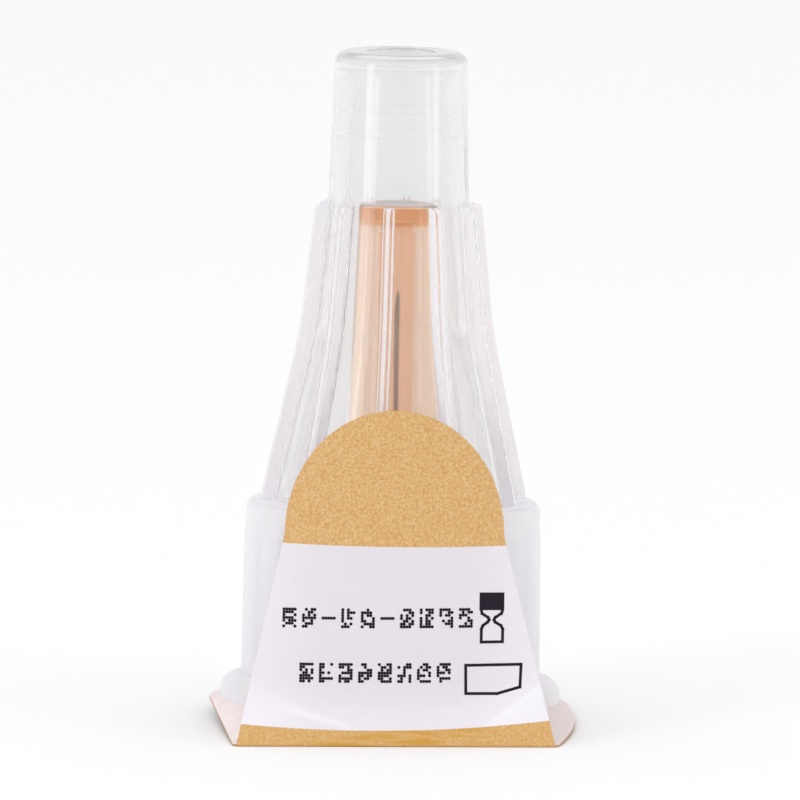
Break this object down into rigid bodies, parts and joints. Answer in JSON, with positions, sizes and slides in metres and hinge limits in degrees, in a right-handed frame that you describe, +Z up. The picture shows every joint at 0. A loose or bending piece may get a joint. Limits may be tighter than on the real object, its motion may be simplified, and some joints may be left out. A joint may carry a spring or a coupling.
{
  "type": "pen needle",
  "caption": "Sealed pen needle standing mouth down: ribbed translucent outer cap, orange inner shield over a fine steel needle, and a glued peel-off paper seal with its tab folded up the front.",
  "frame": {"origin": "on the floor, under the middle of the footprint between the seal's folded front edge and its rear edge", "axes": "+Z up; the folded tab faces -Y; the needle's axis leans from +Z by about 4.0 degrees towards +Y and 0.9 degrees towards +X, because the part rests on the slanted fold and the rear edge of its paper seal"},
  "size_m": [0.0193, 0.0196, 0.0352],
  "materials": {
    "clear_cap": "glossy",
    "orange_shield": "glossy",
    "white_hub": "satin",
    "needle_steel": "polished",
    "clear_adhesive": "glossy",
    "printed_paper": "matte"
  },
  "bodies": {
    "sealed_cap": {"outer_cap": "clear_cap", "needle_hub": "white_hub", "cannula": "needle_steel", "adhesive_bead": "clear_adhesive", "peel_seal": "printed_paper"},
    "shield": {"inner_shield": "orange_shield"}
  },
  "joints": [
    {"name": "shield_slide", "type": "slide", "parent": "sealed_cap", "child": "shield", "axis": [0.015, 0.0698, 0.9974], "range_m": [0, 0.0068]}
  ]
}
